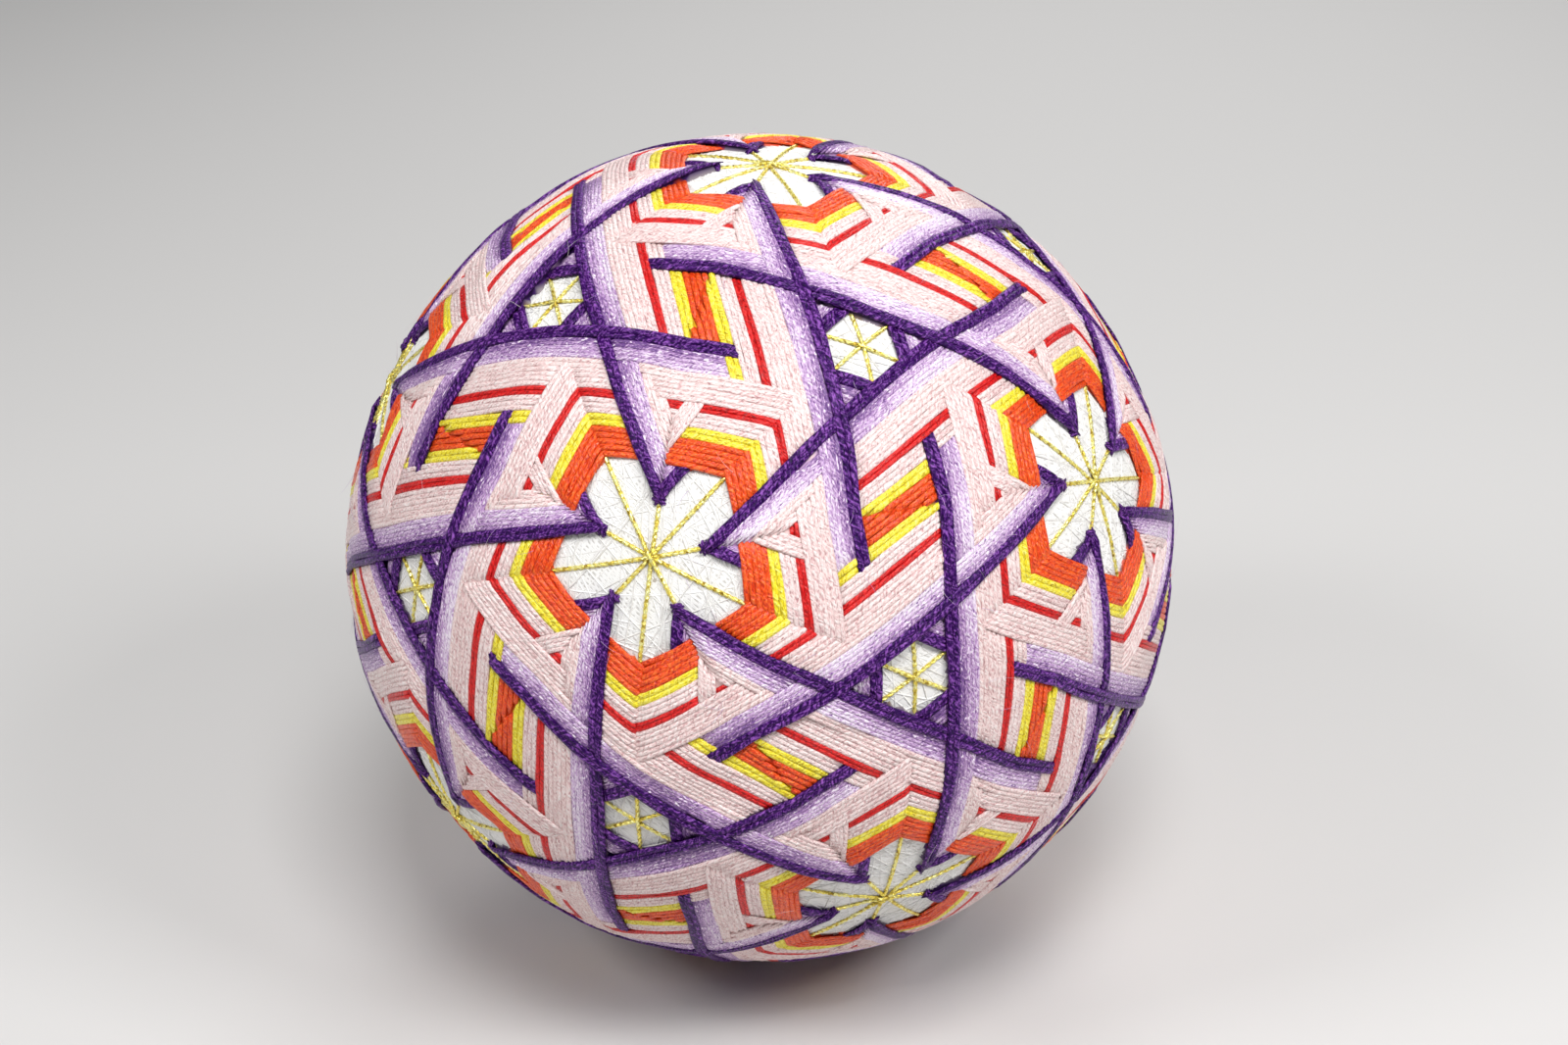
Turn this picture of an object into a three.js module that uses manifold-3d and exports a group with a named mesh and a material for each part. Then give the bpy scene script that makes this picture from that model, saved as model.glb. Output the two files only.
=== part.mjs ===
// Temari ball: a thread-wound ball covered by twelve interwoven five-pointed stars.
// Millimetres, +Z up. The origin is the middle of the small flat spot that the ball rests on.
//
// The stars sit on the twelve corners of an icosahedron. Each star is five bands of thread
// rows, and each band runs straight over the ball from one star point to the next but one.
// Bands cross over each other, so the ball is thicker where more of them lie, and the pale
// winding below shows in a five-petal window at every corner and a small one at every face.
import * as THREE from "three";
import { mergeVertices } from "three/addons/utils/BufferGeometryUtils.js";
import Module from "manifold-3d";

// Driving sizes
const windingRadius = 41.2; // of the bare wound ball, which shows in the windows
const restHeight = 41; // from the flat spot up to the ball's middle
const coverRise = 1.1; // that a deep pile of bands would add to the winding
const bedding = 0.6; // share of that pile still missing after each band laid on

// One star's band, in degrees from the star's centre along the line to a neighbour
const innerRow = 11.4; // first row, which frames the star's own window
const outerRow = 26.8; // last row where it frames a face window
const tipRow = 25.3; // last row where it draws in to a star point
const bandReach = 72; // bearing at which a band ends in a star point, each way
const edgeSoftness = 1.5; // half the width over which a band's edge rises

// How the pattern lies on the ball, in degrees: where the star that faces the viewer has
// its centre, round from the front and up, and the bearing of its upper neighbour
const frontStar = { turn: -14.8, rise: 27.2, bearing: 3.9 };

// The net of facets: how many along each edge of its icosahedron, and its turn in degrees
// about the upright, which keeps its lines off the windows' edges
const facetsPerEdge = 12;
const netTurn = 13;

// A cutter for a window starts below the winding and ends clear of the cover
const cutterFoot = windingRadius - 0.6;
const cutterTop = windingRadius + coverRise + 2;

const wasm = await Module();
wasm.setup();

function bareShape(geometry) {
  geometry.deleteAttribute("normal");
  geometry.deleteAttribute("uv");
  return mergeVertices(geometry);
}

function pointOf(attribute, i) {
  return new THREE.Vector3().fromBufferAttribute(attribute, i);
}

// The corners of an icosahedron, each once
function starCentres() {
  const corners = bareShape(new THREE.IcosahedronGeometry(1, 0)).getAttribute("position");
  return Array.from({ length: corners.count }, (_, i) => pointOf(corners, i).normalize());
}

// The unit direction at one point of the ball that heads for another
function heading(from, to) {
  return to.clone().addScaledVector(from, -to.dot(from)).normalize();
}

// A centre's neighbours, in order round it
function neighboursOf(centre, centres) {
  const near = centres.filter((other) => other !== centre && other.dot(centre) > 0);
  const start = heading(centre, near[0]);
  const side = centre.clone().cross(start);
  return near
    .map((other) => ({ other, bearing: Math.atan2(other.dot(side), other.dot(start)) }))
    .sort((a, b) => a.bearing - b.bearing)
    .map(({ other }) => other);
}

// One band of a star: the star's centre, the heading of the band's middle, and the way it runs
function starBand(centre, neighbour) {
  const middle = heading(centre, neighbour);
  return { centre, middle, along: centre.clone().cross(middle) };
}

// A ramp from 0 to 1 as a value in degrees goes from below zero to above it
function ramp(value) {
  return THREE.MathUtils.smoothstep(value, -edgeSoftness, edgeSoftness);
}

// How much of one band covers a direction from the ball's middle, from 0 to 1
function bandCover(band, direction) {
  const outward = direction.dot(band.middle);
  const row = THREE.MathUtils.radToDeg(Math.atan2(outward, direction.dot(band.centre)));
  const bearing = THREE.MathUtils.radToDeg(Math.atan2(direction.dot(band.along), outward));
  return ramp(row - innerRow) * ramp(outerRow - row) * ramp(bandReach - Math.abs(bearing));
}

// Distance from the ball's middle to the top of the bands
function coverRadius(direction, bands) {
  const layers = bands.reduce((sum, band) => sum + bandCover(band, direction), 0);
  return windingRadius + coverRise * (1 - bedding ** Math.max(1, layers));
}

// The flat ring that a row would lie in, as the unit vector square to it
function rowPlane(band, row) {
  const angle = THREE.MathUtils.degToRad(row);
  return band.middle.clone().multiplyScalar(Math.cos(angle))
    .addScaledVector(band.centre, -Math.sin(angle));
}

// Where two rows cross, on the side of the ball that a direction points to
function crossing(planeA, planeB, side) {
  const point = planeA.clone().cross(planeB).normalize();
  return point.dot(side) > 0 ? point : point.negate();
}

// The outline round a star's centre: its own first rows, which five neighbours' points notch
function starWindow(centre, centres) {
  const around = neighboursOf(centre, centres);
  const ownRows = around.map((neighbour) => rowPlane(starBand(centre, neighbour), innerRow));
  return around.flatMap((neighbour, k) => {
    const before = around[(k + around.length - 1) % around.length];
    const after = around[(k + 1) % around.length];
    const arms = [before, after].map((side) => rowPlane(starBand(neighbour, side), tipRow));
    return [
      crossing(ownRows[k], arms[0], centre),
      crossing(arms[0], arms[1], centre),
      crossing(ownRows[k], arms[1], centre),
      crossing(ownRows[k], ownRows[(k + 1) % around.length], centre),
    ];
  });
}

// The outline round a face's middle: the last rows of the three stars at its corners
function faceWindow(corners) {
  const middle = corners[0].clone().add(corners[1]).add(corners[2]).normalize();
  return corners.flatMap((corner, k) => {
    const next = corners[(k + 1) % 3];
    const last = corners[(k + 2) % 3];
    const toNext = rowPlane(starBand(corner, next), outerRow);
    const toLast = rowPlane(starBand(corner, last), outerRow);
    const nextToLast = rowPlane(starBand(next, last), outerRow);
    return [crossing(toLast, toNext, middle), crossing(toLast, nextToLast, middle)];
  });
}

function allWindows(centres) {
  const faces = centres.flatMap((a, i) => centres.slice(i + 1).flatMap((b, j) =>
    centres.slice(i + j + 2).map((c) => [a, b, c])))
    .filter(([a, b, c]) => a.dot(b) > 0 && b.dot(c) > 0 && c.dot(a) > 0)
    .map(([a, b, c]) => (a.clone().cross(b).dot(c) > 0 ? [a, b, c] : [a, c, b]));
  return [...centres.map((centre) => starWindow(centre, centres)), ...faces.map(faceWindow)];
}

function solidOf(geometry) {
  const mesh = new wasm.Mesh({
    numProp: 3,
    vertProperties: new Float32Array(geometry.getAttribute("position").array),
    triVerts: new Uint32Array(geometry.index.array),
  });
  return new wasm.Manifold(mesh);
}

function geometryOf(solid) {
  const { vertProperties, triVerts } = solid.getMesh();
  const geometry = new THREE.BufferGeometry();
  geometry.setAttribute("position", new THREE.BufferAttribute(vertProperties, 3));
  geometry.setIndex(new THREE.BufferAttribute(triVerts, 1));
  geometry.computeVertexNormals();
  return geometry;
}

// A wedge that points at the ball's middle, with a window's outline on every side
function windowCutter(outline) {
  const middle = outline.reduce((sum, point) => sum.add(point), new THREE.Vector3()).normalize();
  const rim = [...outline, middle];
  const points = [cutterFoot, cutterTop].flatMap((radius) =>
    rim.flatMap((point) => point.clone().multiplyScalar(radius).toArray()));
  const top = rim.length;
  const triangles = outline.flatMap((_, i) => {
    const next = (i + 1) % outline.length;
    return [
      outline.length, next, i,
      top + outline.length, top + i, top + next,
      i, next, top + next,
      i, top + next, top + i,
    ];
  });
  const geometry = new THREE.BufferGeometry();
  geometry.setAttribute("position", new THREE.Float32BufferAttribute(points, 3));
  geometry.setIndex(triangles);
  return solidOf(geometry);
}

// The star centres, turned to bring the first to the front and a neighbour to its bearing
function laidCentres() {
  const centres = starCentres();
  const [first] = centres;
  const upper = heading(first, neighboursOf(first, centres)[0]);
  const asMade = new THREE.Matrix4().makeBasis(upper.clone().cross(first), upper, first);
  const turn = THREE.MathUtils.degToRad(frontStar.turn);
  const rise = THREE.MathUtils.degToRad(frontStar.rise);
  const bearing = THREE.MathUtils.degToRad(frontStar.bearing);
  const facing = new THREE.Vector3(
    Math.cos(rise) * Math.sin(turn), -Math.cos(rise) * Math.cos(turn), Math.sin(rise));
  const up = heading(facing, new THREE.Vector3(0, 0, 1)).applyAxisAngle(facing, -bearing);
  const asLaid = new THREE.Matrix4().makeBasis(up.clone().cross(facing), up, facing);
  const turned = asLaid.multiply(asMade.transpose());
  return centres.map((centre) => centre.applyMatrix4(turned).normalize());
}

// A ball of facets with a corner of the net at its foot, pressed flat where it rests
function pressedBall(radiusAt) {
  const net = bareShape(new THREE.IcosahedronGeometry(1, facetsPerEdge - 1));
  net.rotateX(Math.atan(2 / (1 + Math.sqrt(5))));
  net.rotateZ(THREE.MathUtils.degToRad(netTurn));
  const points = net.getAttribute("position");
  for (let i = 0; i < points.count; i += 1) {
    const direction = pointOf(points, i).normalize();
    const point = direction.clone().multiplyScalar(radiusAt(direction));
    points.setXYZ(i, point.x, point.y, Math.max(point.z, -restHeight));
  }
  return solidOf(net);
}

// The cover of bands with every window cut through it, over the bare winding
function ballShape() {
  const centres = laidCentres();
  const bands = centres.flatMap((centre) =>
    neighboursOf(centre, centres).map((neighbour) => starBand(centre, neighbour)));
  const cover = allWindows(centres).map(windowCutter).reduce(
    (solid, cutter) => solid.subtract(cutter),
    pressedBall((direction) => coverRadius(direction, bands)));
  return geometryOf(cover.add(pressedBall(() => windingRadius)));
}

const floss = new THREE.MeshStandardMaterial({ color: 0xe3c4cb, roughness: 0.55, metalness: 0 });

const ball = new THREE.Mesh(ballShape(), floss);
ball.name = "temari_ball";
ball.position.set(0, 0, restHeight);

const part = new THREE.Group();
part.add(ball);

export default part;
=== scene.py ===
"""A temari ball: a thread-wound ball covered by twelve interwoven five-pointed stars of floss."""

import math

import bpy
import numpy as np
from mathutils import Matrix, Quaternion, Vector


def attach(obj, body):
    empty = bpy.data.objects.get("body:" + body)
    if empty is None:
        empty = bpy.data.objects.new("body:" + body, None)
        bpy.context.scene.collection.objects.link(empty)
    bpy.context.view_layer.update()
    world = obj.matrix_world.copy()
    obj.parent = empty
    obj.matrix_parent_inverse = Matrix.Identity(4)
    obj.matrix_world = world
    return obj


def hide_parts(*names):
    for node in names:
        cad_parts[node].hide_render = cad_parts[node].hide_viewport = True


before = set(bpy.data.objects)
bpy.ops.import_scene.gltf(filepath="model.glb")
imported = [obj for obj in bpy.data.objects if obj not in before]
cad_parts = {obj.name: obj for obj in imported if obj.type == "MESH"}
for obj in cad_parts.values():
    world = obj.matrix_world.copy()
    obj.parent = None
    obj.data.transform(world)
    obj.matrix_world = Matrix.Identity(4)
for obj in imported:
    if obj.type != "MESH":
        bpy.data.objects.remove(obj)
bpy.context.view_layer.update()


# The camera stands close to the ball and a little above it, and leans slightly to one side, as
# it was held for the photograph. The ball fills most of the picture's height.
ball_middle = Vector((0.0, 0.0, 0.041))
camera_turn = math.radians(0.69)
camera_rise = math.radians(27.38)
camera_lean = math.radians(2.48)
camera_distance = 0.2684
aim_right_of_middle = math.radians(0.521)
aim_above_middle = math.radians(0.553)
camera_lens = 59.96

toward_camera = Vector((
    math.sin(camera_turn) * math.cos(camera_rise),
    -math.cos(camera_turn) * math.cos(camera_rise),
    math.sin(camera_rise),
))
upright = (-toward_camera).to_track_quat("-Z", "Y") @ Quaternion((0, 0, 1), -camera_lean)
camera_facing = (upright @ Quaternion((0, 1, 0), -aim_right_of_middle)
                 @ Quaternion((1, 0, 0), aim_above_middle))
bpy.ops.object.select_all(action="DESELECT")
bpy.ops.object.camera_add(
    location=ball_middle + toward_camera * camera_distance,
    rotation=camera_facing.to_euler(),
)
camera = bpy.context.object
camera.name = "camera"
camera.data.lens = camera_lens
camera.data.sensor_width = 36
camera.data.clip_start = 0.01
bpy.context.scene.camera = camera
bpy.context.scene.view_settings.view_transform = "Standard"


# The wound ball is a light core under yarn and a last layer of fine white sewing thread. It is
# round and firm, and pressed flat over a few millimetres where it rests on the table.
winding_radius = 41.2
rest_height = 41.0
last_turns_depth = 0.08
wound_radius = winding_radius - last_turns_depth
table_gap = 0.02
thread_white = (0.88, 0.87, 0.85)
thread_shade = (0.62, 0.60, 0.57)

bpy.ops.object.select_all(action="DESELECT")
bpy.ops.mesh.primitive_ico_sphere_add(
    subdivisions=6, radius=wound_radius / 1000, location=ball_middle)
wound_ball = bpy.context.object
wound_ball.name = "wound_ball"
bpy.ops.object.transform_apply(location=True, rotation=True, scale=True)
bpy.ops.object.mode_set(mode="EDIT")
bpy.ops.mesh.select_all(action="SELECT")
bpy.ops.mesh.bisect(
    plane_co=(0, 0, table_gap / 1000), plane_no=(0, 0, 1), use_fill=True, clear_inner=True,
    threshold=0.000001)
bpy.ops.mesh.select_all(action="SELECT")
bpy.ops.mesh.normals_make_consistent(inside=False)
bpy.ops.object.mode_set(mode="OBJECT")
bpy.ops.object.shade_smooth_by_angle(angle=math.radians(40))


def new_finish(name, roughness):
    """A material, with its nodes, its links and its main shader."""
    finish = bpy.data.materials.new(name)
    finish.use_nodes = True
    nodes = finish.node_tree.nodes
    shader = nodes["Principled BSDF"]
    shader.inputs["Roughness"].default_value = roughness
    return finish, nodes, finish.node_tree.links, shader


def colour_by(value, stops, nodes, links, shader):
    """Colours a shader by a value from 0 to 1, from stops that each give a place and a colour."""
    tone = nodes.new("ShaderNodeValToRGB")
    ramp = tone.color_ramp.elements
    for end in (0, -1):
        ramp[end].position = stops[end][0]
        ramp[end].color = (*stops[end][1], 1)
    for place, colour in stops[1:-1]:
        ramp.new(place).color = (*colour, 1)
    links.new(value, tone.inputs["Fac"])
    links.new(tone.outputs["Color"], shader.inputs["Base Color"])


def raise_by(value, distance, strength, nodes, links, shader):
    """Gives a shader the relief of a value, whose steps stand as high as the distance."""
    relief = nodes.new("ShaderNodeBump")
    relief.inputs["Distance"].default_value = distance
    relief.inputs["Strength"].default_value = strength
    links.new(value, relief.inputs["Height"])
    links.new(relief.outputs["Normal"], shader.inputs["Normal"])


winding_finish, nodes, links, shader = new_finish("white_winding", 0.7)
shader.inputs["Sheen Weight"].default_value = 0.2
place = nodes.new("ShaderNodeTexCoord")
turns = None
for lean, waver in (((0.3, 0.9, 0.2), 3.0), ((1.2, 0.1, 1.0), 4.0), ((2.2, 1.9, 0.4), 5.0)):
    layer = nodes.new("ShaderNodeMapping")
    layer.inputs["Rotation"].default_value = lean
    links.new(place.outputs["Object"], layer.inputs["Vector"])
    lines = nodes.new("ShaderNodeTexWave")
    lines.inputs["Scale"].default_value = 900
    lines.inputs["Distortion"].default_value = waver
    lines.inputs["Detail"].default_value = 1
    links.new(layer.outputs["Vector"], lines.inputs["Vector"])
    if turns is None:
        turns = lines.outputs["Fac"]
    else:
        over = nodes.new("ShaderNodeMath")
        over.operation = "MAXIMUM"
        links.new(turns, over.inputs[0])
        links.new(lines.outputs["Fac"], over.inputs[1])
        turns = over.outputs["Value"]
# The thread lines are white on their crowns and darker between them, as painted shade between the
# turns
colour_by(turns, ((0.25, thread_shade), (0.8, thread_white)), nodes, links, shader)
raise_by(turns, 0.00006, 0.5, nodes, links, shader)
wound_ball.data.materials.append(winding_finish)
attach(wound_ball, "root")
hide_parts("temari_ball")


# The last turns of the fine white thread cross each other every way. They show in the windows
# that the stitching leaves: one at each of twelve star centres, and one at each of twenty faces.
front_star_turn = math.radians(-14.8)
front_star_rise = math.radians(27.2)
upper_star_bearing = 3.9
star_window_reach = 15.0
face_window_reach = 7.5
fine_turns_per_star = 112
fine_turns_per_face = 40
fine_turn_spread = 0.95
fine_turn_bend = 0.4
shortest_half_turn = 0.02
fine_ring_spacing = 3
fine_thread_width = 0.17
fine_thread_flatness = 0.9
fine_thread_rise = (0.03, 0.12)
any_heading = np.array([0.3, 0.2, 0.93])

# Only a direction that points at least this far down can bring a thread to the table
near_table = 0.5

chance = np.random.default_rng(11)


def heading(start, goal):
    """The unit direction at one point of the ball that heads for another."""
    straight = goal - np.dot(goal, start) * start
    return straight / np.linalg.norm(straight)


def thread_rings(directions, top, half_width, half_thickness, sides):
    """Corners of the rings of a thread, whose top lies so far out along each direction."""
    along = np.gradient(directions, axis=0)
    along /= np.linalg.norm(along, axis=1)[:, None]
    beside = np.cross(along, directions)
    top = np.minimum(top, rest_height / np.maximum(-directions[:, 2], near_table))
    middle = directions * (top - half_thickness)[:, None]
    section = [(0, -1), (-1, 0), (0, 1), (1, 0)]
    if sides == 6:
        section = [(0, -1), (-0.95, -0.45), (-0.72, 0.62), (0, 1), (0.72, 0.62), (0.95, -0.45)]
    rings = [middle + directions * (half_thickness * high)[:, None]
             + beside * (half_width * wide)[:, None] for wide, high in section]
    corners = np.stack(rings, axis=1)
    corners[:, :, 2] = np.maximum(corners[:, :, 2], -rest_height)
    return corners


def joined_threads(name, threads):
    """One mesh of closed threads, each given as its rings, the length run so far, and a tint."""
    points, faces, strands = [], [], []
    used = 0
    for rings, run, tint in threads:
        count, sides = rings.shape[:2]
        ring = np.arange(count - 1)[:, None] * sides
        side = np.arange(sides)[None, :]
        after = (side + 1) % sides
        walls = np.stack([ring + side, ring + after, ring + after + sides, ring + side + sides],
                         axis=-1)
        lid = np.array([[0, 1, 2, 3], [0, 3, 4, 5]] if sides == 6 else [[0, 1, 2, 3]])
        last_ring = (count - 1) * sides
        faces += [walls.reshape(-1, 4) + used, lid[:, ::-1] + used, lid + used + last_ring]
        points.append(rings.reshape(-1, 3))
        strands.append(np.stack([
            np.repeat(run, sides), np.tile(np.arange(sides) / sides, count),
            np.full(count * sides, tint)], axis=1))
        used += count * sides
    points = np.concatenate(points) / 1000 + np.array(ball_middle)
    faces = np.concatenate(faces)
    mesh = bpy.data.meshes.new(name)
    mesh.vertices.add(len(points))
    mesh.vertices.foreach_set("co", points.astype(np.float32).ravel())
    mesh.loops.add(faces.size)
    mesh.loops.foreach_set("vertex_index", faces.astype(np.int32).ravel())
    mesh.polygons.add(len(faces))
    mesh.polygons.foreach_set("loop_start", np.arange(0, faces.size, 4, dtype=np.int32))
    mesh.polygons.foreach_set("use_smooth", np.ones(len(faces), bool))
    mesh.update(calc_edges=True)
    strand = mesh.attributes.new("strand", "FLOAT_VECTOR", "POINT")
    strand.data.foreach_set("vector", np.concatenate(strands).astype(np.float32).ravel())
    piece = bpy.data.objects.new(name, mesh)
    bpy.context.collection.objects.link(piece)
    return piece


front = np.array([
    math.cos(front_star_rise) * math.sin(front_star_turn),
    -math.cos(front_star_rise) * math.cos(front_star_turn),
    math.sin(front_star_rise),
])
upward = heading(front, np.array([0.0, 0.0, 1.0]))
rightward = np.cross(upward, front)
star_centres = [front]
for step in range(5):
    bearing = math.radians(upper_star_bearing + 72 * (step + 1))
    level = math.cos(bearing) * upward + math.sin(bearing) * rightward
    star_centres.append((front + 2 * level) / math.sqrt(5))
star_centres += [-centre for centre in star_centres]


def stars_round(star):
    """The five stars next to one, in clockwise order seen from outside."""
    centre = star_centres[star]
    near = [other for other in range(12) if other != star and star_centres[other] @ centre > 0]
    start = heading(centre, star_centres[near[0]])
    clockwise = np.cross(start, centre)
    return sorted(near, key=lambda other: math.atan2(
        star_centres[other] @ clockwise, star_centres[other] @ start))


face_centres = []
for star in range(12):
    around = stars_round(star)
    for first, second in zip(around, around[1:] + around[:1]):
        if star < min(first, second):
            middle = star_centres[star] + star_centres[first] + star_centres[second]
            face_centres.append(middle / np.linalg.norm(middle))

# The marks were set by eye, so some centres sit up to a millimetre off their true places: the
# stars round each mark, then how far it is off to the right and upward, in millimetres
marks_off = [
    ((0,), 0.39, -0.91), ((1,), 0.13, 0.13), ((2,), -0.53, 0.0), ((3,), 0.0, 0.32),
    ((0, 4, 5), 0.0, 0.41), ((0, 5, 1), -0.39, -0.12), ((0, 1, 2), -0.41, -0.19),
    ((0, 2, 3), 0.33, -0.08), ((0, 3, 4), -0.18, 0.35),
]
mark_spread = math.radians(18)


def as_marked(directions):
    """Directions on the true ball, moved as far as the nearest marks are off."""
    moved = directions.copy()
    for stars, right, above in marks_off:
        mark = sum(star_centres[star] for star in stars)
        mark = mark / np.linalg.norm(mark)
        near = np.exp((directions @ mark - 1) / mark_spread ** 2)
        off = (right * rightward + above * upward) / winding_radius
        moved += near[:, None] * off
    return moved / np.linalg.norm(moved, axis=1)[:, None]


fine_turns = []
for window, reach, turns_here in (
        [(centre, star_window_reach, fine_turns_per_star) for centre in star_centres]
        + [(centre, face_window_reach, fine_turns_per_face) for centre in face_centres]):
    for turn in range(turns_here):
        bearing = chance.uniform(0, math.pi)
        aside = math.radians(reach) * chance.uniform(-fine_turn_spread, fine_turn_spread)
        level = heading(window, any_heading)
        square = np.cross(window, level)
        run_way = math.cos(bearing) * level + math.sin(bearing) * square
        across = np.cross(window, run_way)
        near_middle = math.cos(aside) * window + math.sin(aside) * across
        half = math.sqrt(max(math.radians(reach) ** 2 - aside ** 2, shortest_half_turn ** 2))
        rings = int(2 * half * winding_radius / fine_ring_spacing) + 1
        angle = np.linspace(-half, half, max(3, rings))
        bend = chance.uniform(-fine_turn_bend, fine_turn_bend) * (angle ** 2 - half ** 2)
        path = (np.cos(angle)[:, None] * near_middle + np.sin(angle)[:, None] * run_way
                + bend[:, None] * across)
        path = as_marked(path / np.linalg.norm(path, axis=1)[:, None])
        width = np.full(len(path), fine_thread_width / 2) * chance.uniform(0.8, 1.2)
        top = np.full(len(path), wound_radius + chance.uniform(*fine_thread_rise))
        fine_turns.append((thread_rings(path, top, width, width * fine_thread_flatness, 4),
                           angle * winding_radius, chance.uniform()))

fine_winding = joined_threads("fine_winding", fine_turns)


def strand_parts(nodes, links):
    """A thread's own map: X is millimetres along it, Y the share round it, and Z its tint."""
    strand = nodes.new("ShaderNodeAttribute")
    strand.attribute_name = "strand"
    parts = nodes.new("ShaderNodeSeparateXYZ")
    links.new(strand.outputs["Vector"], parts.inputs["Vector"])
    return parts.outputs


fine_shade = (0.74, 0.72, 0.69)
fine_white = (0.93, 0.92, 0.90)
fine_finish, nodes, links, shader = new_finish("fine_white_thread", 0.6)
shader.inputs["Sheen Weight"].default_value = 0.3
tint = strand_parts(nodes, links)["Z"]
colour_by(tint, ((0, fine_shade), (1, fine_white)), nodes, links, shader)
fine_winding.data.materials.append(fine_finish)
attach(fine_winding, "root")


# Guide threads of gold metallic floss divide the ball before any star is stitched. Five whole
# rings of it cross at every star centre and three at every face centre, pinned by one stitch.
gold_half_width = 0.155
gold_twist_radius = 0.07
gold_twist_length = 1.2
gold_rings_per_twist = 6
gold_top = 0.23
gold_pile = 0.09
gold_pile_spread = 1.1
gold_star_reach = 14.4
gold_face_reach = 7.2
gold_under_point = 8.6
gold_drift = 0.0022

gold_runs = []
guide_paths = []
for centre, reach, first_heading, rings_here in (
        [(star_centres[star], gold_star_reach, star_centres[stars_round(star)[0]], 5)
         for star in range(12)]
        + [(middle, gold_face_reach, max(star_centres, key=lambda star: star @ middle), 3)
           for middle in face_centres]):
    start = heading(centre, first_heading)
    square = np.cross(centre, start)
    for ring in range(rings_here):
        bearing = math.pi * ring / rings_here
        level = math.cos(bearing) * start + math.sin(bearing) * square
        across = np.cross(centre, level)
        ends = [-math.radians(reach), math.radians(reach)]
        if rings_here == 5:
            ends[1 if ring % 2 == 0 else 0] *= gold_under_point / reach
        steps = int((ends[1] - ends[0]) * winding_radius
                    / (gold_twist_length / gold_rings_per_twist))
        angle = np.linspace(ends[0], ends[1], steps)
        drift = chance.normal(0, gold_drift) * np.cos(angle / math.radians(reach) * math.pi / 2)
        path = (np.cos(angle)[:, None] * centre + np.sin(angle)[:, None] * level
                + drift[:, None] * across)
        path = as_marked(path / np.linalg.norm(path, axis=1)[:, None])
        guide_paths.append(path)
        along = angle * winding_radius
        lift = gold_top + gold_pile * ring * np.exp(-(along / gold_pile_spread) ** 2)
        for ply in range(2):
            twist = 2 * math.pi * along / gold_twist_length + ply * math.pi
            shifted = path + across * (gold_twist_radius * np.cos(twist) / winding_radius)[:, None]
            shifted /= np.linalg.norm(shifted, axis=1)[:, None]
            top = winding_radius + lift - gold_twist_radius * (1 - np.sin(twist))
            width = np.full(len(path), gold_half_width)
            gold_runs.append((thread_rings(shifted, top, width, width, 4), along,
                              chance.uniform()))

gold_threads = joined_threads("gold_guide_threads", gold_runs)

# The foil's flakes vary in tone at random, and the brightest of them are a painted glint
gold_deep = (0.42, 0.27, 0.02)
gold_body = (0.98, 0.80, 0.14)
gold_painted_glint = (1.0, 0.95, 0.40)
gold_finish, nodes, links, shader = new_finish("gold_metallic_floss", 0.3)
shader.inputs["Metallic"].default_value = 0.6
place = nodes.new("ShaderNodeTexCoord")
flakes = nodes.new("ShaderNodeTexVoronoi")
flakes.inputs["Scale"].default_value = 3500
links.new(place.outputs["Object"], flakes.inputs["Vector"])
colour_by(flakes.outputs["Color"], ((0.1, gold_deep), (0.4, gold_body), (0.75, gold_painted_glint)),
          nodes, links, shader)
raise_by(flakes.outputs["Distance"], 0.00006, 0.7, nodes, links, shader)
gold_threads.data.materials.append(gold_finish)
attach(gold_threads, "root")


# Twelve stars of stranded cotton floss cover the ball, each of five bands of rows. Every row runs
# from one star point to the next but one. The stars grow together, one colour after another, so
# the rows of each colour lie over all the colours before them, and dive under where they weave.
floss_rows = [
    ("orange", 5, 11.2, 14.5),
    ("yellow", 2, 14.5, 15.9),
    ("inner_pink", 3, 15.9, 17.75),
    ("red", 2, 17.75, 18.8),
    ("outer_pink", 6, 18.8, 22.45),
    ("lavender", 5, 22.45, 25.1),
    ("purple", 2, 25.1, 26.7),
]
stitching_order = [6, 7, 8, 9, 10, 11, 2, 3, 1, 5, 4, 0]
point_bearing = 72.0
path_step = 0.12
row_fullness = 1.34
floss_thickness = 0.34
purple_thickness = 1.2
least_laid_width = 0.5
guide_width = 0.55
guide_thickness = 0.3

# A row runs on a little past its point, is drawn in there, and bows out halfway to it
row_overrun = 0.5
bold_overrun = 0.9
drawn_in = 2.5
drawn_in_less = 0.1
drawn_in_row = 14
bowed_out = 0.04
straight_row = 11
row_wavers = ((31, 0.06), (17, 0.04), (9, 0.022))
purple_waver = (13, 0.05)

# The moment when each stretch of a row is laid: a hundred to a colour, five to a star, and half
# to a row. Stretches that weave are laid early, and those behind a point before all others.
colour_moments = 100
star_moments = 5
row_moments = 0.5
late_pink_row = 4
late_pink_moment = 60
late_pink_star_moments = 3
woven_bearings = (7, 36)
lavender_woven = 150
purple_woven = 250
buried_moment = -1000
buried_share = 0.1
first_pink_rows = 2
first_pink_moment = -1200
first_pink_edge = 21
point_edge = 22.6
point_row_moments = 0.05
outer_point_moment = -1500

# The net that keeps what has been laid, and how threads bed into a pile and climb over it
cells_per_side = 760
highest_pile = 0.95
pile_bedding = 0.8
steepest_climb = 0.22

pile = np.zeros(6 * cells_per_side ** 2, np.float32)
topmost = np.full(6 * cells_per_side ** 2, -1, np.int8)


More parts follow.
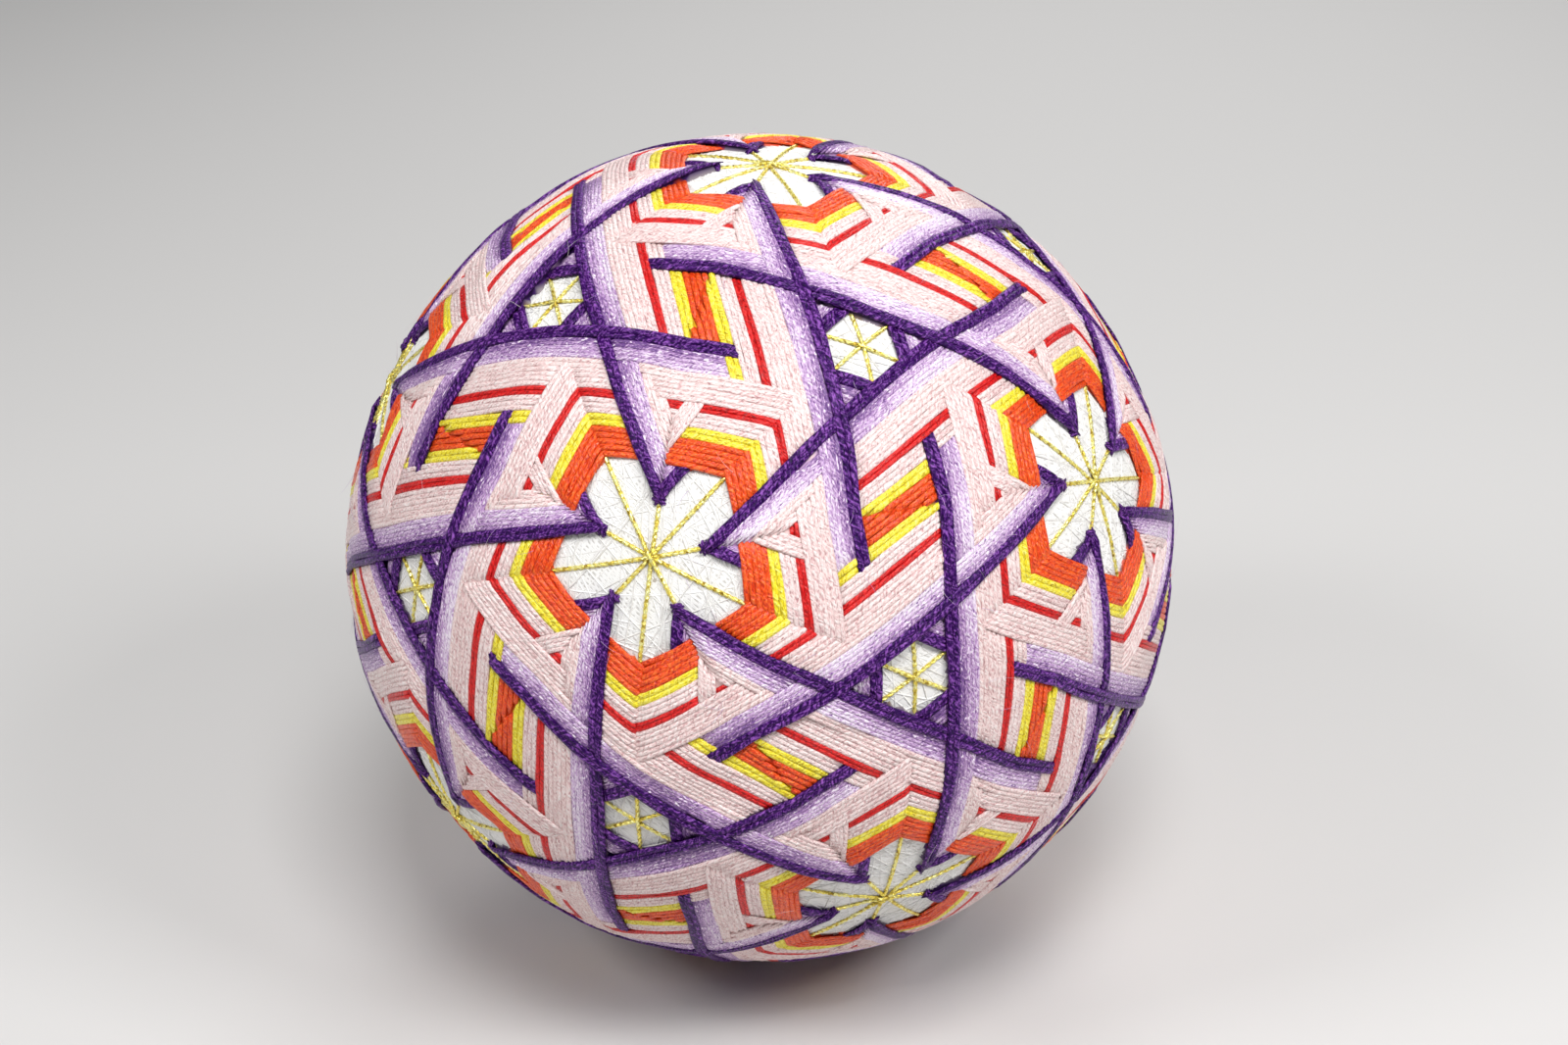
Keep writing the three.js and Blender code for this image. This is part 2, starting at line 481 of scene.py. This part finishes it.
def cells_of(directions):
    """The cell of a fine net over the whole ball that each direction falls in."""
    size = np.abs(directions)
    axis = np.argmax(size, axis=1)
    each = np.arange(len(directions))
    largest = directions[each, axis]
    sheet = axis * 2 + (largest < 0)
    places = []
    for turn in (1, 2):
        angle = np.arctan(directions[each, (axis + turn) % 3] / np.abs(largest))
        share = (angle * 4 / math.pi + 1) / 2
        places.append((share * cells_per_side).astype(int).clip(0, cells_per_side - 1))
    return (sheet * cells_per_side + places[0]) * cells_per_side + places[1]


def pile_height(pile_value):
    """Millimetres above the winding, as threads bed into those below them."""
    return highest_pile * (1 - np.exp(-pile_value / pile_bedding))


def lay_thread(path, width, thickness, colour):
    """Lays a thread over what the net already holds, and gives its top and the cells it crosses."""
    along = np.gradient(path, axis=0)
    along /= np.linalg.norm(along, axis=1)[:, None]
    beside = np.cross(path, along)
    offsets = np.array([-0.9, -0.6, -0.3, 0.0, 0.3, 0.6, 0.9])
    crossed = cells_of(np.concatenate([
        path + beside * (offset * width / 2 / winding_radius) for offset in offsets]))
    crossed = crossed.reshape(len(offsets), -1)
    below = pile[crossed[1:6]].mean(axis=0)
    run = np.arange(len(path)) * math.radians(path_step) * winding_radius
    climbing = np.maximum.accumulate(below + steepest_climb * run) - steepest_climb * run
    falling = np.maximum.accumulate((below - steepest_climb * run)[::-1])[::-1]
    below = np.maximum(climbing, falling + steepest_climb * run)
    for offset, cells in zip(offsets, crossed):
        top = below + thickness * math.sqrt(1 - offset * offset)
        higher = top > pile[cells]
        pile[cells[higher]] = top[higher]
        topmost[cells[higher]] = colour
    return below + thickness, crossed[[1, 3, 5]]


for path in guide_paths:
    lay_thread(path, guide_width, guide_thickness, len(floss_rows))

rows_laid = []
turns_to_lay = []
for star in range(12):
    centre = star_centres[star]
    around = stars_round(star)
    stitched = stitching_order.index(star)
    for band in range(5):
        outward = heading(centre, star_centres[around[(band + 1) % 5]])
        clockwise = np.cross(outward, centre)
        next_star = star_centres[around[(band + 2) % 5]]
        back_home = heading(next_star, centre)
        last_star = star_centres[around[band]]
        band_phase = chance.uniform(0, 2 * math.pi)
        home_again = heading(last_star, centre)
        for colour, (name, count, first_edge, last_edge) in enumerate(floss_rows):
            for number in range(count):
                row = first_edge + (last_edge - first_edge) * (number + 0.5) / count
                reach = math.degrees(math.atan(
                    math.tan(math.radians(point_bearing)) * math.sin(math.radians(row))))
                reach += bold_overrun if name in ("purple", "orange") else row_overrun
                run = np.radians(np.linspace(-reach, reach, int(2 * reach / path_step)))
                bearing = np.arctan2(np.tan(run), math.sin(math.radians(row)))
                share = np.degrees(np.abs(bearing)) / point_bearing
                drawn = row - (drawn_in - drawn_in_less * (row - drawn_in_row)) * share ** 3
                drawn += bowed_out * (row - straight_row) * np.sin(np.pi * share)
                away = np.arctan(np.tan(np.radians(drawn)) / np.cos(bearing))
                path = (np.cos(away)[:, None] * centre
                        + (np.sin(away) * np.cos(bearing))[:, None] * outward
                        + (np.sin(away) * np.sin(bearing))[:, None] * clockwise)
                millimetres = run * winding_radius
                waver = np.zeros(len(path))
                own_phase = chance.uniform(0, 6.3)
                for (length, size), phase in zip(
                        row_wavers, (band_phase, 2 * band_phase, own_phase)):
                    waver += size * np.sin(2 * math.pi * millimetres / length + phase)
                if name == "purple":
                    length, size = purple_waver
                    waver += size * np.sin(2 * math.pi * millimetres / length + 3 * own_phase)
                along = np.gradient(path, axis=0)
                along /= np.linalg.norm(along, axis=1)[:, None]
                path = path + np.cross(path, along) * (waver / winding_radius)[:, None]
                path /= np.linalg.norm(path, axis=1)[:, None]
                next_row = np.degrees(np.arctan2(path @ back_home, path @ next_star))
                last_row = np.degrees(np.arctan2(path @ home_again, path @ last_star))
                path = as_marked(path)
                bearing = np.degrees(bearing)
                in_turn = number * row_moments
                own_moment = colour * colour_moments + stitched * star_moments + in_turn
                if name == "outer_pink" and number >= late_pink_row:
                    own_moment = (colour * colour_moments + late_pink_moment
                                  + stitched * late_pink_star_moments + in_turn)
                moment = np.full(len(path), own_moment)
                weave_start, weave_end = woven_bearings
                woven = (bearing > weave_start) & (bearing <= weave_end)
                if name == "lavender":
                    moment[woven] = lavender_woven + in_turn
                if name == "purple":
                    moment[woven] = purple_woven + in_turn
                first_pink = name == "outer_pink" and number < first_pink_rows
                if first_pink:
                    at_start = (bearing < -weave_end) & (last_row < first_pink_edge)
                    moment[at_start] = first_pink_moment
                buried = bearing > weave_end
                moment[buried] = buried_moment + own_moment * buried_share
                at_point = buried & (next_row < point_edge)
                if first_pink:
                    moment[at_point] = first_pink_moment
                elif name in ("lavender", "purple"):
                    moment[at_point] = outer_point_moment
                else:
                    moment[at_point] = colour * colour_moments - 1 + number * point_row_moments
                breaks = np.flatnonzero(np.diff(moment)) + 1
                edges = [0, *breaks, len(path)]
                for start, end in zip(edges, edges[1:]):
                    if end - start > 1:
                        turns_to_lay.append((moment[start], len(rows_laid), start, end))
                pitch = math.radians((last_edge - first_edge) / count)
                rows_laid.append({
                    "colour": colour, "number": number, "path": path, "run": millimetres,
                    "width": row_fullness * pitch * winding_radius,
                    "top": np.zeros(len(path)), "cells": np.zeros((3, len(path)), int),
                })

turns_to_lay.sort(key=lambda turn: turn[0])
for moment, number, start, end in turns_to_lay:
    row = rows_laid[number]
    thickness = floss_thickness
    if floss_rows[row["colour"]][0] == "purple":
        thickness *= purple_thickness
    laid_width = max(least_laid_width, row["width"])
    row["top"][start:end], row["cells"][:, start:end] = lay_thread(
        row["path"][start:end], laid_width, thickness, row["colour"])

# The threads miss a cell of the net here and there, which takes what lies on both sides of it
net = pile.reshape(6, cells_per_side, cells_per_side)
for higher_or_lower in (np.maximum, np.minimum):
    for axis in (1, 2):
        rim = [(0, 0), (0, 0), (0, 0)]
        rim[axis] = (1, 1)
        wider = np.pad(net, rim, mode="edge").swapaxes(0, axis)
        net = higher_or_lower(higher_or_lower(wider[:-2], wider[1:-1]), wider[2:])
        net = net.swapaxes(0, axis)
pile = net.ravel()
colours = topmost.reshape(6, cells_per_side, cells_per_side)
for axis in (1, 2):
    for way in (1, -1):
        colours = np.where(colours < 0, np.roll(colours, way, axis=axis), colours)
topmost = colours.ravel()

# Only the stretches of a row that show become thread, and they run on out of sight at both ends.
# A row shows where nothing on the net stands above its middle or its shoulders.
shoulder = 0.6
shoulder_drop = floss_thickness * (1 - math.sqrt(1 - shoulder ** 2))
level_enough = 0.03
steady = 5
bare_ends = 4
tuck = 10
shortest_stretch = 12
soft_steps = 20
soft_width = 0.6
sharp_width = 0.2
purple_lift = 0.09
hidden_drop = 0.32
lavender_tints = (1.0, 0.6, 0.2, -1.6, -2.8)
row_swell = 0.07
rings_per_step = 0.045
rings_per_bend = 0.75
end_taper = 0.9
end_fullness = 0.25
end_drop = 0.32
row_half_thickness = 0.15
purple_half_thickness = 0.2


def softened(values, width):
    """Values along a row, softened over a width in millimetres."""
    spread = np.arange(-soft_steps, soft_steps + 1) * math.radians(path_step) * winding_radius
    weights = np.exp(-(spread / width) ** 2 / 2)
    return np.convolve(np.pad(values, soft_steps, mode="edge"), weights / weights.sum(),
                       mode="valid")


def true_near(values, steps):
    """How many of the steps round each place along a row are true."""
    return np.convolve(values, np.ones(steps), mode="same")


floss_threads = {name: [] for name, count, first_edge, last_edge in floss_rows}
for row in rows_laid:
    name = floss_rows[row["colour"]][0]
    left, middle, right = (pile[cells] - level_enough for cells in row["cells"])
    seen = row["top"] >= middle
    seen |= row["top"] - shoulder_drop >= left
    seen |= row["top"] - shoulder_drop >= right
    seen = true_near(seen, steady) > steady // 2
    seen = true_near(seen, steady) > steady - 0.5
    shown = true_near(seen, 2 * bare_ends + 1) > 0
    seen = true_near(seen, 2 * tuck + steady) > 0
    height = softened(pile_height(row["top"]), soft_width)
    showing = softened(shown, sharp_width)
    height += (purple_lift if name == "purple" else 0) * showing - hidden_drop * (1 - showing)
    changes = np.flatnonzero(np.diff(seen.astype(int))) + 1
    edges = [0, *changes, len(seen)]
    tint = chance.uniform()
    if name == "lavender":
        tint += lavender_tints[row["number"]]
    swell = np.sin(row["run"] / chance.uniform(0.5, 1.5) + chance.uniform(0, 6))
    swell = 1 + row_swell * swell
    for start, end in zip(edges, edges[1:]):
        if not seen[start] or end - start < shortest_stretch:
            continue
        bend = np.abs(np.gradient(np.gradient(height[start:end])))
        need = np.cumsum(rings_per_step + rings_per_bend * np.sqrt(bend))
        wanted = np.linspace(need[0], need[-1], max(4, round(need[-1] - need[0]) + 1))
        picked = np.unique(start + np.searchsorted(need, wanted).clip(0, end - start - 1))
        path = row["path"][picked]
        end_distance = np.minimum(picked - start, end - 1 - picked) * math.radians(path_step)
        end_distance *= winding_radius
        fullness = np.clip(end_fullness + end_distance / end_taper, end_fullness, 1)
        lowered = end_drop * (1 - np.clip(end_distance / end_taper, 0, 1)) ** 2
        half_width = row["width"] / 2 * fullness * swell[picked]
        half_thickness = purple_half_thickness if name == "purple" else row_half_thickness
        half_thickness = np.full(len(path), half_thickness) * fullness
        rings = thread_rings(path, winding_radius + height[picked] - lowered, half_width,
                             half_thickness, 6)
        floss_threads[name].append((rings, row["run"][picked], tint))

# Each floss runs from a deep through a body to a bright colour. Streaks along its fibres and its
# tint move it between them, and painted shade in gaps and ply grooves pulls it to the deep end,
# painted glints to the bright end
floss_colours = {
    "orange": ((0.48, 0.015, 0.002), (0.86, 0.068, 0.006), (1.0, 0.20, 0.03)),
    "yellow": ((0.56, 0.38, 0.01), (0.93, 0.79, 0.02), (1.0, 0.94, 0.24)),
    "inner_pink": ((0.56, 0.29, 0.30), (0.90, 0.69, 0.67), (1.0, 0.92, 0.90)),
    "red": ((0.26, 0.002, 0.003), (0.66, 0.006, 0.007), (0.90, 0.04, 0.035)),
    "outer_pink": ((0.58, 0.31, 0.32), (0.92, 0.70, 0.68), (1.0, 0.92, 0.90)),
    "lavender": ((0.16, 0.06, 0.26), (0.58, 0.35, 0.64), (0.96, 0.86, 0.97)),
    "purple": ((0.009, 0.001, 0.032), (0.040, 0.003, 0.104), (0.33, 0.11, 0.52)),
}
floss_shine = {
    "orange": 0.5, "yellow": 0.5, "inner_pink": 0.6, "red": 0.4, "outer_pink": 0.6,
    "lavender": 0.6, "purple": 0.14,
}
floss_twist = 1.35


def floss_finish(name, deep, body, bright, shine):
    """Two loosely twisted plies of glossy cotton, with painted shade in the groove between them."""
    finish, nodes, links, shader = new_finish("floss_" + name, 0.3)
    shader.inputs["Specular IOR Level"].default_value = shine
    parts = strand_parts(nodes, links)
    length, girth, tint = parts["X"], parts["Y"], parts["Z"]

    def reckon(operation, first, second=None):
        """One step of arithmetic on values or plain numbers."""
        step = nodes.new("ShaderNodeMath")
        step.operation = operation
        for socket, value in zip(step.inputs, (first, second)):
            if isinstance(value, (int, float)):
                socket.default_value = value
            elif value is not None:
                links.new(value, socket)
        return step.outputs["Value"]

    def streaks(along, across, scale, detail):
        """Noise on the strand's own map, different on every strand."""
        lengthwise = nodes.new("ShaderNodeCombineXYZ")
        links.new(along, lengthwise.inputs["X"])
        links.new(across, lengthwise.inputs["Y"])
        links.new(reckon("MULTIPLY", tint, 97.0), lengthwise.inputs["Z"])
        noise = nodes.new("ShaderNodeTexNoise")
        noise.inputs["Scale"].default_value = scale
        noise.inputs["Detail"].default_value = detail
        links.new(lengthwise.outputs["Vector"], noise.inputs["Vector"])
        return noise.outputs["Fac"]

    uneven = streaks(length, tint, 0.9, 0.0)
    twist = reckon("ADD", reckon("MULTIPLY", girth, 2.0), reckon("MULTIPLY", length, floss_twist))
    twist = reckon("ADD", twist, reckon("MULTIPLY", uneven, 3.0))
    ply = reckon("SINE", reckon("MULTIPLY", twist, 2 * math.pi))
    fibres = streaks(reckon("MULTIPLY", length, 1.8), reckon("MULTIPLY", twist, 3.2), 1.0, 2.0)
    glints = streaks(reckon("MULTIPLY", length, 3.4), reckon("MULTIPLY", girth, 11.0), 1.0, 1.0)
    # Dark specks of painted shade, where the gaps between the fibres would lie in shadow
    painted_gap_shade = streaks(reckon("MULTIPLY", length, 1.9), reckon("MULTIPLY", girth, 7.0), 1.3, 0.0)
    painted_gap_shade = reckon("MAXIMUM", reckon("MULTIPLY", reckon("SUBTRACT", 0.285, painted_gap_shade), 9.0), 0.0)
    # The ply wave darkens the colour in the groove between the plies, as painted shade
    shade = reckon("ADD", reckon("MULTIPLY", ply, 0.07), reckon("MULTIPLY", fibres, 1.0))
    # The glints lighten the colour as painted highlights, and further down they also raise the
    # relief
    shade = reckon("ADD", shade, reckon("MULTIPLY", glints, 0.9))
    shade = reckon("ADD", shade, reckon("MULTIPLY", tint, 0.08))
    shade = reckon("SUBTRACT", shade, reckon("MINIMUM", painted_gap_shade, 0.6))
    shade = reckon("SUBTRACT", shade, 0.48)
    if name == "lavender":
        # Small bright specks on the lavender are painted sparkle, a painted highlight
        painted_sparkle = streaks(reckon("MULTIPLY", length, 2.2), reckon("MULTIPLY", girth, 6.0), 1.0, 0.0)
        painted_sparkle = reckon("MULTIPLY", reckon("SUBTRACT", painted_sparkle, 0.67), 6.0)
        shade = reckon("ADD", shade, reckon("MAXIMUM", painted_sparkle, 0.0))
        place = nodes.new("ShaderNodeTexCoord")
        patches = nodes.new("ShaderNodeTexNoise")
        patches.inputs["Scale"].default_value = 70.0
        patches.inputs["Detail"].default_value = 1.0
        links.new(place.outputs["Object"], patches.inputs["Vector"])
        patches = reckon("SUBTRACT", patches.outputs["Fac"], 0.5)
        shade = reckon("ADD", shade, reckon("MULTIPLY", patches, 0.9))
    colour_by(shade, ((0.15, deep), (0.48, body), (0.84, bright)), nodes, links, shader)
    raised = reckon("ADD", fibres, reckon("MULTIPLY", glints, 0.9))
    raised = reckon("ADD", reckon("MULTIPLY", ply, 0.16), raised)
    raise_by(raised, 0.00012, 0.85, nodes, links, shader)
    return finish


for name, threads in floss_threads.items():
    floss = joined_threads("floss_" + name, threads)
    floss.data.materials.append(floss_finish(name, *floss_colours[name], floss_shine[name]))
    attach(floss, "root")


# Under the rows that show lie the buried ones, which close the gaps between them. They are made
# as one skin that follows the underside of the cover, and sinks into the winding in the windows.
skin_depth = 0.26
skin_in_windows = -0.5
skin_table_gap = 0.1
skin_heading = np.array([0.31, 0.52, 0.79])
under_a_row = 0.32
look_round = 0.8
never_reached = 9.0
guide_dye = (0.4, 0.3, 0.1)
bare_dye = (0.5, 0.45, 0.4)

bpy.ops.object.select_all(action="DESELECT")
bpy.ops.mesh.primitive_ico_sphere_add(subdivisions=7, radius=1, location=(0, 0, 0))
buried_floss = bpy.context.object
buried_floss.name = "buried_floss"
corners = np.zeros(len(buried_floss.data.vertices) * 3, np.float32)
buried_floss.data.vertices.foreach_get("co", corners)
corners = corners.reshape(-1, 3).astype(float)
corners /= np.linalg.norm(corners, axis=1)[:, None]
level = np.cross(corners, skin_heading)
level /= np.linalg.norm(level, axis=1)[:, None]
square = np.cross(corners, level)
lowest = np.full(len(corners), never_reached)
covered = np.zeros(len(corners), int)
for step in range(7):
    around = step * math.pi / 3
    aside = 0.0 if step == 6 else look_round / winding_radius
    beside = corners + (math.cos(around) * level + math.sin(around) * square) * aside
    above = pile[cells_of(beside)]
    covered += above > under_a_row
    lowest = np.where(above > under_a_row, np.minimum(lowest, above), lowest)
skin = np.where(covered > 4, pile_height(lowest) - skin_depth, skin_in_windows)
radius = np.minimum(winding_radius + skin, rest_height / np.maximum(-corners[:, 2], near_table)
                    - skin_table_gap)
dyes = [floss_colours[name][1] for name, count, first_edge, last_edge in floss_rows]
dyes = np.array([(*dye, 1) for dye in dyes + [guide_dye, bare_dye]])
dye_here = dyes[topmost[cells_of(corners)]]
buried_floss.data.vertices.foreach_set(
    "co", (corners * radius[:, None] / 1000 + np.array(ball_middle)).astype(np.float32).ravel())
dye = buried_floss.data.attributes.new("dye", "FLOAT_COLOR", "POINT")
dye.data.foreach_set("color", dye_here.astype(np.float32).ravel())
buried_floss.data.update()
bpy.ops.object.shade_smooth()

buried_finish, nodes, links, shader = new_finish("buried_floss", 0.9)
dye_source = nodes.new("ShaderNodeAttribute")
dye_source.attribute_name = "dye"
links.new(dye_source.outputs["Color"], shader.inputs["Base Color"])
buried_floss.data.materials.append(buried_finish)
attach(buried_floss, "root")


# At every star point the needle takes a short bite under the guide thread, so two strands of
# dark purple show as small feet on either side of it, just inside the two arms that meet there.
foot_length = 1.3
foot_distance = 6.75
foot_spacing = 0.42
foot_lean = 0.25
foot_base = 0.05
foot_arch = 0.42
foot_end_half_width = 0.1
foot_swell = 0.17
foot_flatness = 0.8

dark_feet = []
for star in range(12):
    for other in stars_round(star):
        centre = star_centres[other]
        outward = heading(centre, star_centres[star])
        sideways = np.cross(centre, outward)
        for strand_number in range(2):
            away = foot_distance + foot_spacing * strand_number + chance.uniform(-0.1, 0.1)
            away = math.radians(away)
            foot = math.cos(away) * centre + math.sin(away) * outward
            reach = foot_length / 2 * chance.uniform(0.8, 1.1) / winding_radius
            angle = np.linspace(-reach, reach, 7)
            lean = chance.uniform(-foot_lean, foot_lean)
            path = foot + angle[:, None] * (sideways + lean * outward)
            path = as_marked(path / np.linalg.norm(path, axis=1)[:, None])
            bend = 1 - (angle / reach) ** 2
            top = winding_radius + foot_base + foot_arch * bend
            width = foot_end_half_width + foot_swell * bend
            dark_feet.append((thread_rings(path, top, width, width * foot_flatness, 6),
                              angle * winding_radius, chance.uniform()))
point_feet = joined_threads("point_feet", dark_feet)
point_feet.data.materials.append(bpy.data.materials["floss_purple"])
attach(point_feet, "root")


# Handling has teased a haze of short cotton fibres out of the floss, each far thinner than a
# strand. They curl away from the rows that still hold them, and a few longer ones stand off.
short_fibres = 460
long_fibres = 4
short_lengths = (0.8, 2.8)
long_lengths = (7, 12)
lowest_short_fibre = -0.7
fibre_rings = 8
fibre_curl = 0.6
fibre_slopes = (0.12, 0.4)
fibre_foot = 0.03
fibre_half_width = 0.014
fibre_lilac = (0.45, 0.30, 0.60)
fibre_pink = (0.90, 0.80, 0.80)

stray = []
for number in range(short_fibres + long_fibres):
    start = chance.normal(size=3)
    start /= np.linalg.norm(start)
    is_long = number >= short_fibres
    start[2] = abs(start[2]) if is_long else max(start[2], lowest_short_fibre)
    start /= np.linalg.norm(start)
    length = chance.uniform(*(long_lengths if is_long else short_lengths))
    goal = heading(start, chance.normal(size=3))
    curl = np.cross(start, goal) * chance.uniform(-1, 1)
    share = np.linspace(0, 1, fibre_rings)
    reach = share * length / winding_radius
    path = start + reach[:, None] * goal + (fibre_curl * reach * share)[:, None] * curl
    path /= np.linalg.norm(path, axis=1)[:, None]
    rise = length * chance.uniform(*fibre_slopes) * share ** 1.3
    cover = pile_height(pile[cells_of(path)])
    top = winding_radius + cover.max() + fibre_foot + rise
    width = np.full(len(path), fibre_half_width) * (1.2 - share)
    stray.append((thread_rings(path, top, width, width, 4), share * length, chance.uniform()))
stray_fibres = joined_threads("stray_fibres", stray)

fibre_finish, nodes, links, shader = new_finish("stray_fibre", 0.6)
tint = strand_parts(nodes, links)["Z"]
colour_by(tint, ((0, fibre_lilac), (1, fibre_pink)), nodes, links, shader)
stray_fibres.data.materials.append(fibre_finish)
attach(stray_fibres, "root")


# The ball rests on a plain pale table, which isn't part of it. Soft lights stand left, right
# and above, which gives the floss its long highlights, and a weak one lights the back.
bpy.ops.object.select_all(action="DESELECT")
bpy.ops.mesh.primitive_plane_add(size=3, location=(0, 0, -0.00005))
table = bpy.context.object
table.name = "table"
table_finish, nodes, links, shader = new_finish("pale_table", 0.8)
shader.inputs["Base Color"].default_value = (0.66, 0.65, 0.64, 1)
table.data.materials.append(table_finish)

for name, place, size, power in (
        ("left_light", (-0.36, -0.16, 0.40), 0.16, 0.9),
        ("right_light", (0.34, -0.22, 0.40), 0.16, 1.3),
        ("top_light", (0.06, -0.26, 0.55), 0.2, 2.1),
        ("back_light", (0.10, 0.46, 0.34), 0.2, 0.8)):
    bpy.ops.object.select_all(action="DESELECT")
    bpy.ops.object.light_add(type="AREA", location=place)
    light = bpy.context.object
    light.name = name
    light.data.size = size
    light.data.energy = power
    light.rotation_euler = (ball_middle - Vector(place)).to_track_quat("-Z", "Y").to_euler()

surroundings = bpy.data.worlds.new("studio")
surroundings.use_nodes = True
surroundings.node_tree.nodes["Background"].inputs["Color"].default_value = (0.9, 0.92, 0.95, 1)
surroundings.node_tree.nodes["Background"].inputs["Strength"].default_value = 0.12
bpy.context.scene.world = surroundings
